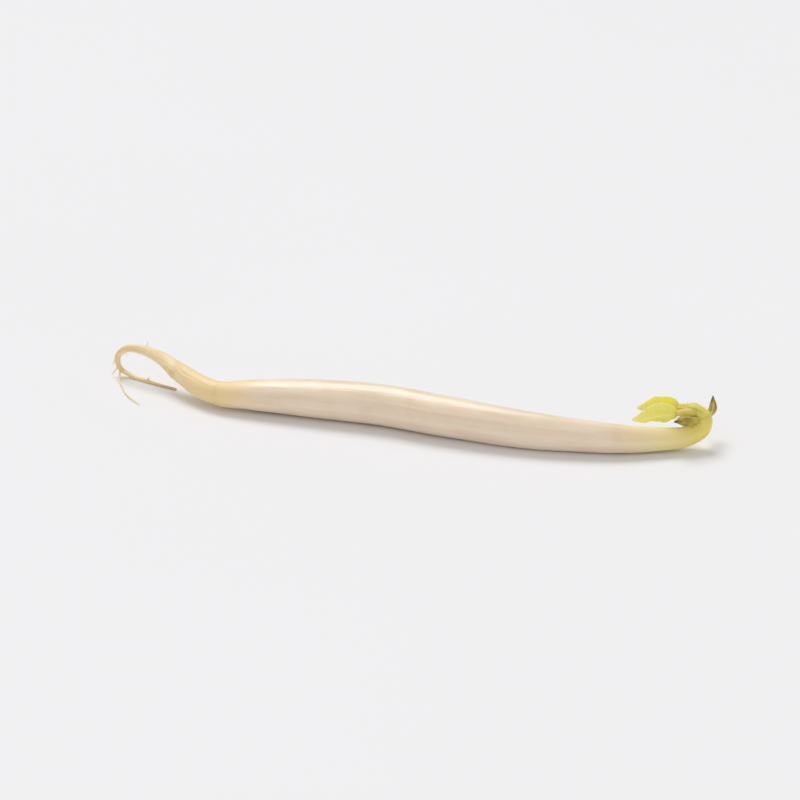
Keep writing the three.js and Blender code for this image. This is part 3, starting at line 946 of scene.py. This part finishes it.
class SkinNetwork(Network):
    """The network of a skin's material, with the skin's coordinates and the masks that skins share."""

    def __init__(self, name):
        self.material = new_material(name)
        super().__init__(self.material.node_tree)
        self.skin = self.add("ShaderNodeAttribute", {}, attribute_name=SKIN).outputs["Vector"]
        self.across, _, self.along = self.add("ShaderNodeSeparateXYZ", {0: self.skin}).outputs

    def streaks(self, around, along, low, high):
        return self.group(streaks_group(), skin=self.skin, around=around, along=along, low=low, high=high)

    def blotches(self, scale, low, high):
        return self.group(blotches_group(), skin=self.skin, scale=scale, low=low, high=high)

    def cells(self, fineness):
        return self.group(cells_group(), skin=self.skin, fineness=fineness)

    def seam(self, place):
        """The thin ring where root and stem have grown together, as a mask."""
        away = self.math("ABSOLUTE", self.math("SUBTRACT", self.along, place))
        return self.ramp(away, *SEAM_REACH)

    def finish(self, colour, roughness, height, flesh, coat=()):
        """Joins the maps and the flesh's own numbers to one Principled shader. Gives the material."""
        relief = {"Height": height, "Strength": 1.0, "Distance": flesh.relief * MM}
        inputs = {
            "Base Color": colour,
            "Roughness": roughness,
            "Normal": self.add("ShaderNodeBump", relief).outputs[0],
            "Subsurface Weight": flesh.clearness,
            "Subsurface Radius": flesh.glow,
            "Subsurface Scale": flesh.reach * MM,
        }
        shader = self.add("ShaderNodeBsdfPrincipled", inputs | dict(coat)).outputs[0]
        self.add("ShaderNodeOutputMaterial", {"Surface": shader})
        return self.material


# ---- materials

# how much light enters the flesh, how red, green and blue spread in it, how far they do, in mm, and
# the depth of the finest relief of its skin, in mm
Flesh = namedtuple("Flesh", "clearness glow reach relief")
ROOT_FLESH = Flesh(0.35, (1.0, 0.7, 0.4), 0.5, 0.06)
STEM_FLESH = Flesh(0.6, (1.0, 0.65, 0.4), 1.0, 0.011)
SHOOT_FLESH = Flesh(0.4, (1.0, 0.8, 0.2), 0.6, 0.02)
SEED_LEAF_FLESH = Flesh(0.15, (1.0, 0.6, 0.2), 0.4, 0.05)
LEAF_FLESH = Flesh(0.85, (1.0, 0.9, 0.25), 0.8, 0.03)
STEM_COAT = 0.18
STEM_COAT_ROUGHNESS = 0.2

# distances along a skin, in mm, between which a tint sets in, or fades where the first is larger
ROOT_TIP = (4.5, 0.0)
ROOT_TO_COLLAR = (ROOT_LENGTH - 6.0, ROOT_LENGTH - 0.8)
ROOT_RELIEF_END = (ROOT_LENGTH - 0.3, ROOT_LENGTH - 4.0)
COLLAR_STREAKS = (4.0, -3.0)
COLLAR_TAN = (4.0, 1.2)
STEM_MOIST = (1.0, 7.0)
NECK = (37.0, 45.0)
HOOK = (43.5, 47.5)
STREAK_REACH = 5.0  # how far the streaks draw the collar's tan up the stem
SHOOT_FOOT = (1.2, 0.0)
SEED_LEAF_FOOT = (2.0, 0.7)
SEED_LEAF_TIP = (2.2, 3.5)
SEED_LEAF_RIM = (0.3, 0.62)  # this one and the next across the skin, from its middle
LEAF_EDGE = (0.5, 1.3)
LEAF_FOOT = (1.8, 0.3)
LEAF_TIP = (2.4, 4.6)

FLOOR_SHADE = 0.985  # brightness of the floor's darker clouds


def root_material(colours):
    """Tan, streaked with brown, darker at the tips."""
    nodes = SkinNetwork("root skin")
    streaks = nodes.streaks(around=3.2, along=0.25, low=0.42, high=0.72)
    stains = nodes.blotches(scale=0.55, low=0.52, high=0.74)
    colour = nodes.tints(
        colours.root_light,
        (streaks, 0.7, colours.root_brown),
        (stains, 0.3, colours.root_dark),
        (nodes.ramp(nodes.along, *ROOT_TIP), 0.6, colours.root_dark),
        (nodes.ramp(nodes.along, *ROOT_TO_COLLAR), 1, colours.collar_tan),
        (nodes.seam(ROOT_LENGTH), 0.55, colours.collar_scar),
    )
    calm = nodes.ramp(nodes.along, *ROOT_RELIEF_END)
    cells = nodes.math("MULTIPLY", nodes.cells(fineness=0.9), calm)
    roughness = nodes.ramp(streaks, 0.0, 1.0, 0.45, 0.65)
    return nodes.finish(colour, roughness, cells, ROOT_FLESH)


def stem_material(colours):
    """Ivory, with faint fibres, tan towards the collar and yellow-green towards the head."""
    nodes = SkinNetwork("stem skin")
    fibres = nodes.streaks(around=3.0, along=0.09, low=0.4, high=0.68)
    wander = nodes.streaks(around=1.2, along=0.14, low=0.25, high=0.75)
    clouds = nodes.blotches(scale=0.28, low=0.4, high=0.7)
    bruises = nodes.blotches(scale=0.8, low=0.66, high=0.76)
    shifted = nodes.math("ADD", nodes.along, nodes.math("MULTIPLY", wander, -STREAK_REACH))
    near_collar = nodes.math(
        "MAXIMUM", nodes.ramp(shifted, *COLLAR_STREAKS), nodes.ramp(nodes.along, *COLLAR_TAN)
    )
    colour = nodes.tints(
        colours.stem_flesh,
        (clouds, 0.6, colours.stem_shade),
        (wander, 0.35, colours.stem_shade),
        (fibres, 0.6, colours.stem_fibre),
        (near_collar, 1, colours.collar_tan),
        (nodes.seam(STEM_FOOT), 0.55, colours.collar_scar),
        (nodes.ramp(nodes.along, *NECK), 0.65, colours.head_tint),
        (nodes.ramp(nodes.along, *HOOK), 0.9, colours.hook_olive),
        (bruises, 0.3, colours.collar_tan),
    )
    moist = nodes.ramp(nodes.along, *STEM_MOIST)
    dull_foot = nodes.ramp(moist, 0.0, 1.0, 0.15, 0.0)
    roughness = nodes.math("ADD", nodes.ramp(fibres, 0.0, 1.0, 0.3, 0.45), dull_foot)
    coat = {"Coat Weight": nodes.math("MULTIPLY", moist, STEM_COAT), "Coat Roughness": STEM_COAT_ROUGHNESS}
    return nodes.finish(colour, roughness, nodes.cells(fineness=0.7), STEM_FLESH, coat)


def shoot_material(colours):
    """Yellow with green ribs, and olive where it leaves the stem."""
    nodes = SkinNetwork("shoot skin")
    ribs = nodes.streaks(around=4.0, along=0.4, low=0.35, high=0.7)
    clouds = nodes.blotches(scale=0.8, low=0.4, high=0.7)
    colour = nodes.tints(
        colours.shoot_pale,
        (ribs, 1, colours.shoot_green),
        (clouds, 0.4, colours.leaf_yellow),
        (nodes.ramp(nodes.along, *SHOOT_FOOT), 1, colours.hook_olive),
    )
    roughness = nodes.ramp(ribs, 0.0, 1.0, 0.35, 0.5)
    return nodes.finish(colour, roughness, nodes.cells(fineness=1.0), SHOOT_FLESH)


def seed_leaf_material(colours):
    """Dried amber and olive, browned in the furrows and almost black at the tip."""
    nodes = SkinNetwork("dried seed leaf")
    streaks = nodes.streaks(around=2.4, along=0.5, low=0.4, high=0.65)
    clouds = nodes.blotches(scale=0.7, low=0.42, high=0.6)
    specks = nodes.blotches(scale=3.0, low=0.58, high=0.68)
    near_rim = nodes.ramp(nodes.math("ABSOLUTE", nodes.across), *SEED_LEAF_RIM)
    colour = nodes.tints(
        colours.seed_leaf_amber,
        (clouds, 1, colours.seed_leaf_olive),
        (streaks, 0.4, colours.seed_leaf_dark),
        (near_rim, 0.55, colours.seed_leaf_olive),
        (nodes.ramp(nodes.along, *SEED_LEAF_FOOT), 0.8, colours.shoot_green),
        (specks, 0.6, colours.seed_leaf_dark),
        (nodes.ramp(nodes.along, *SEED_LEAF_TIP), 0.75, colours.seed_leaf_dark),
    )
    roughness = nodes.ramp(streaks, 0.0, 1.0, 0.42, 0.62)
    return nodes.finish(colour, roughness, nodes.cells(fineness=1.2), SEED_LEAF_FLESH)


def leaf_material(colours):
    """Bright yellow between paler veins, and paler at the tip and edges."""
    nodes = SkinNetwork("leaf blade")
    clouds = nodes.blotches(scale=0.7, low=0.4, high=0.7)
    wavy = nodes.math("ADD", nodes.along, nodes.math("MULTIPLY", clouds, 0.3))
    veins = nodes.group(veins_group(), across=nodes.across, along=wavy)
    near_edge = nodes.ramp(nodes.math("ABSOLUTE", nodes.across), *LEAF_EDGE)
    colour = nodes.tints(
        colours.leaf_yellow,
        (clouds, 0.6, colours.leaf_ochre),
        (nodes.ramp(nodes.along, *LEAF_TIP), 0.8, colours.leaf_pale),
        (near_edge, 0.6, colours.leaf_pale),
        (veins, 0.65, colours.leaf_vein),
        (nodes.ramp(nodes.along, *LEAF_FOOT), 0.8, colours.shoot_pale),
    )
    height = nodes.math("ADD", nodes.math("MULTIPLY", nodes.cells(fineness=1.6), 0.4), veins)
    roughness = nodes.ramp(veins, 0.0, 1.0, 0.5, 0.4)
    return nodes.finish(colour, roughness, height, LEAF_FLESH)


def floor_material(studio):
    """A plain matt floor, very slightly uneven in tone."""
    material = new_material("studio floor")
    nodes = Network(material.node_tree)
    place = nodes.add("ShaderNodeTexCoord", {}).outputs["Object"]
    clouds = nodes.group(blotches_group(), skin=place, scale=9.0, low=0.2, high=0.8)
    shade = [channel * FLOOR_SHADE for channel in studio.floor_colour]
    colour = nodes.tints(studio.floor_colour, (clouds, 1, shade))
    inputs = {"Base Color": colour, "Roughness": 0.6, "Specular IOR Level": 0.2}
    shader = nodes.add("ShaderNodeBsdfPrincipled", inputs).outputs[0]
    nodes.add("ShaderNodeOutputMaterial", {"Surface": shader})
    return material


# ---- stage

FLOOR_DROP = 0.01 * MM
KEY_LIGHT = {"direction": (-0.4, 0.5, 1.0), "spread": 30, "colour": (1.0, 0.99, 0.98)}
FILL_LIGHT = {"direction": (0.5, -0.9, 0.7), "spread": 70, "colour": (1.0, 0.86, 0.7)}
SKY_COLOUR = (1.0, 0.985, 0.97, 1.0)
LIGHT_DISTANCE = 0.5
CLIP_DISTANCES = (0.01, 20)


def build_floor(studio):
    bm = bmesh.new()
    bmesh.ops.create_grid(bm, x_segments=4, y_segments=4, size=studio.floor_size / 2)
    bmesh.ops.translate(bm, verts=bm.verts, vec=(0, 0, -FLOOR_DROP))
    mesh = bpy.data.meshes.new("studio_floor")
    bm.to_mesh(mesh)
    bm.free()
    mesh.materials.append(floor_material(studio))
    floor = bpy.data.objects.new("studio_floor", mesh)
    bpy.context.scene.collection.objects.link(floor)


def add_sun(name, strength, direction, spread, colour):
    """A soft distant light that shines from a direction, spread over an angle in degrees."""
    data = bpy.data.lights.new(name, "SUN")
    data.energy = strength
    data.angle = math.radians(spread)
    data.color = colour
    light = bpy.data.objects.new(name, data)
    light.rotation_euler = Vector(direction).to_track_quat("Z", "Y").to_euler()
    light.location = Vector(direction).normalized() * LIGHT_DISTANCE
    bpy.context.scene.collection.objects.link(light)


def build_lights(studio):
    add_sun("key_light", studio.key_strength, **KEY_LIGHT)
    add_sun("fill_light", studio.fill_strength, **FILL_LIGHT)
    world = bpy.data.worlds.new("studio_world")
    world.use_nodes = True
    background = world.node_tree.nodes["Background"]
    background.inputs["Color"].default_value = SKY_COLOUR
    background.inputs["Strength"].default_value = studio.sky_strength
    bpy.context.scene.world = world


def build_camera(studio):
    """A camera that looks at the middle of the sprout from a little above."""
    low, high = CAD_BOX
    azimuth, elevation = studio.camera_azimuth, studio.camera_elevation
    level = math.cos(elevation)
    back = Vector((math.sin(azimuth) * level, -math.cos(azimuth) * level, math.sin(elevation)))
    data = bpy.data.cameras.new("camera")
    data.lens = studio.camera_lens
    data.clip_start, data.clip_end = CLIP_DISTANCES
    camera = bpy.data.objects.new("camera", data)
    camera.location = (low + high) / 2 + back * studio.camera_distance
    camera.rotation_euler = back.to_track_quat("Z", "Y").to_euler()
    bpy.context.scene.collection.objects.link(camera)
    bpy.context.scene.camera = camera


# ---- properties


def depth_property(name, description, millimetres):
    return FloatProperty(
        name=name,
        description=description,
        default=millimetres * MM,
        min=0,
        soft_max=millimetres * MM * 4,
        precision=6,
        unit="LENGTH",
    )


def colour_property(name, description, colour):
    return FloatVectorProperty(
        name=name, description=description, default=colour, subtype="COLOR", size=3, min=0, max=1
    )


def count_property(name, description, count):
    return IntProperty(name=name, description=description, default=count, min=0, soft_max=600)


def strength_property(name, description, strength):
    return FloatProperty(name=name, description=description, default=strength, min=0)


def angle_property(name, description, degrees):
    return FloatProperty(name=name, description=description, default=math.radians(degrees), subtype="ANGLE")


class SproutRelief(bpy.types.PropertyGroup):
    """Sizes of the fine relief and the hairs."""

    root_furrow_depth: depth_property("Root furrows", "Depth of the furrows along the root", 0.07)
    root_hair_count: count_property("Root hairs", "How many fine hairs the root has", 70)
    root_hair_length: depth_property("Root hair length", "Length of the longest root hairs", 0.55)
    root_hair_radius: depth_property("Root hair radius", "Radius of a root hair at its foot", 0.013)
    stem_groove_depth: depth_property("Stem grooves", "Depth of the fine grooves along the stem", 0.024)
    stem_dent_depth: depth_property("Stem dents", "Depth of the soft dents in the stem", 0.08)
    shoot_hair_count: count_property("Shoot hairs", "How many short hairs the shoot has", 110)
    seed_leaf_wrinkle_depth: depth_property("Seed leaf wrinkles", "Depth of the dried wrinkles", 0.12)
    leaf_thickness: depth_property("Leaf thickness", "Thickness of a leaf's blade", 0.24)
    leaf_vein_height: depth_property("Leaf veins", "How far the side veins stand out below", 0.05)


class SproutColours(bpy.types.PropertyGroup):
    """Colours of the skins."""

    root_light: colour_property("Root, light", "The root between its streaks", (0.98, 0.8, 0.49))
    root_brown: colour_property("Root, brown", "The root's streaks", (0.86, 0.6, 0.3))
    root_dark: colour_property("Root, dark", "The root's stains and tips", (0.5, 0.3, 0.13))
    collar_tan: colour_property("Collar", "Where root and stem meet", (0.93, 0.73, 0.4))
    collar_scar: colour_property("Collar ring", "The thin ring there", (1.0, 0.7, 0.36))
    stem_flesh: colour_property("Stem", "The stem's ivory flesh", (0.92, 0.785, 0.635))
    stem_shade: colour_property("Stem, shaded", "The stem's darker clouds", (0.83, 0.655, 0.475))
    stem_fibre: colour_property("Stem fibres", "The fibres that shine through", (0.91, 0.82, 0.69))
    head_tint: colour_property("Neck", "The tint towards the head", (0.9, 0.81, 0.28))
    hook_olive: colour_property("Hook", "The olive yellow of the hook", (0.86, 0.72, 0.15))
    shoot_pale: colour_property("Shoot, pale", "The shoot between its ribs", (0.86, 0.77, 0.2))
    shoot_green: colour_property("Shoot, green", "The shoot's ribs", (0.66, 0.57, 0.09))
    seed_leaf_amber: colour_property("Seed leaf, amber", "Its paler flesh", (0.52, 0.38, 0.08))
    seed_leaf_olive: colour_property("Seed leaf, olive", "Its green flesh", (0.38, 0.35, 0.055))
    seed_leaf_dark: colour_property("Seed leaf, dark", "Its furrows and tip", (0.09, 0.05, 0.02))
    leaf_yellow: colour_property("Leaf", "The blade between the veins", (0.98, 0.86, 0.22))
    leaf_ochre: colour_property("Leaf, ochre", "The blade's darker clouds", (0.89, 0.74, 0.11))
    leaf_pale: colour_property("Leaf, pale", "The blade's tip and edges", (0.97, 0.84, 0.4))
    leaf_vein: colour_property("Leaf veins", "The paler veins", (0.97, 0.93, 0.52))


class SproutStudio(bpy.types.PropertyGroup):
    """The floor, the lights and the camera."""

    floor_colour: colour_property("Floor", "The floor's colour", (0.9, 0.91, 0.945))
    floor_size: FloatProperty(name="Floor size", description="Side of the floor", default=6.0, unit="LENGTH")
    key_strength: strength_property("Key light", "Strength of the light from behind", 1.5)
    fill_strength: strength_property("Fill light", "Strength of the light from the front", 0.28)
    sky_strength: strength_property("Sky", "Strength of the light from all round", 0.53)
    camera_azimuth: angle_property("Azimuth", "Turn of the camera round the sprout", 13)
    camera_elevation: angle_property("Elevation", "Height of the camera", 25)
    camera_distance: FloatProperty(
        name="Distance", description="From the camera to the sprout's middle", default=0.31, unit="LENGTH"
    )
    camera_lens: FloatProperty(
        name="Lens", description="Focal length, in millimetres", default=150, subtype="DISTANCE_CAMERA"
    )


# ---- operators


def run(build, context):
    """Builds a piece with the sizes and colours that are set in the scene."""
    build(context.scene.sprout_relief, context.scene.sprout_colours)
    return {"FINISHED"}


class SPROUT_OT_root(bpy.types.Operator):
    """Builds the root, with its side roots and root hairs"""

    bl_idname = "sprout.root"
    bl_label = "Root"

    def execute(self, context):
        return run(build_root, context)


class SPROUT_OT_stem(bpy.types.Operator):
    """Builds the white stem, from the collar to the hook"""

    bl_idname = "sprout.stem"
    bl_label = "Stem"

    def execute(self, context):
        return run(build_stem, context)


class SPROUT_OT_shoot(bpy.types.Operator):
    """Builds the green shoot, with its leaf joints, bud and hairs"""

    bl_idname = "sprout.shoot"
    bl_label = "Shoot"

    def execute(self, context):
        return run(build_shoot, context)


class SPROUT_OT_seed_leaves(bpy.types.Operator):
    """Builds the two dried seed leaves"""

    bl_idname = "sprout.seed_leaves"
    bl_label = "Seed Leaves"

    def execute(self, context):
        return run(build_seed_leaves, context)


class SPROUT_OT_first_leaves(bpy.types.Operator):
    """Builds the two folded first leaves"""

    bl_idname = "sprout.first_leaves"
    bl_label = "First Leaves"

    def execute(self, context):
        return run(build_first_leaves, context)


class SPROUT_OT_stage(bpy.types.Operator):
    """Builds the floor, the lights and the camera"""

    bl_idname = "sprout.stage"
    bl_label = "Stage"

    def execute(self, context):
        studio = context.scene.sprout_studio
        build_floor(studio)
        build_lights(studio)
        build_camera(studio)
        context.scene.view_settings.view_transform = "Standard"
        return {"FINISHED"}


OPERATORS = (
    SPROUT_OT_root,
    SPROUT_OT_stem,
    SPROUT_OT_shoot,
    SPROUT_OT_seed_leaves,
    SPROUT_OT_first_leaves,
    SPROUT_OT_stage,
)
GROUPS = {
    "sprout_relief": SproutRelief,
    "sprout_colours": SproutColours,
    "sprout_studio": SproutStudio,
}


class SPROUT_PT_panel(bpy.types.Panel):
    """Lists the pieces of the sprout, with their sizes and colours"""

    bl_label = "Mung Bean Sprout"
    bl_space_type = "VIEW_3D"
    bl_region_type = "UI"
    bl_category = "Sprout"

    def draw(self, context):
        column = self.layout.column()
        for operator in OPERATORS:
            column.operator(operator.bl_idname)
        for group in GROUPS:
            settings = getattr(context.scene, group)
            box = self.layout.box()
            for name in settings.__annotations__:
                box.prop(settings, name)


def register():
    for cls in (*GROUPS.values(), *OPERATORS, SPROUT_PT_panel):
        bpy.utils.register_class(cls)
    for name, cls in GROUPS.items():
        setattr(bpy.types.Scene, name, bpy.props.PointerProperty(type=cls))


def unregister():
    for name in GROUPS:
        delattr(bpy.types.Scene, name)
    for cls in reversed((*GROUPS.values(), *OPERATORS, SPROUT_PT_panel)):
        bpy.utils.unregister_class(cls)


def main():
    register()
    bpy.ops.sprout.root()
    bpy.ops.sprout.stem()
    bpy.ops.sprout.shoot()
    bpy.ops.sprout.seed_leaves()
    bpy.ops.sprout.first_leaves()
    bpy.ops.sprout.stage()


if __name__ == "__main__":
    main()
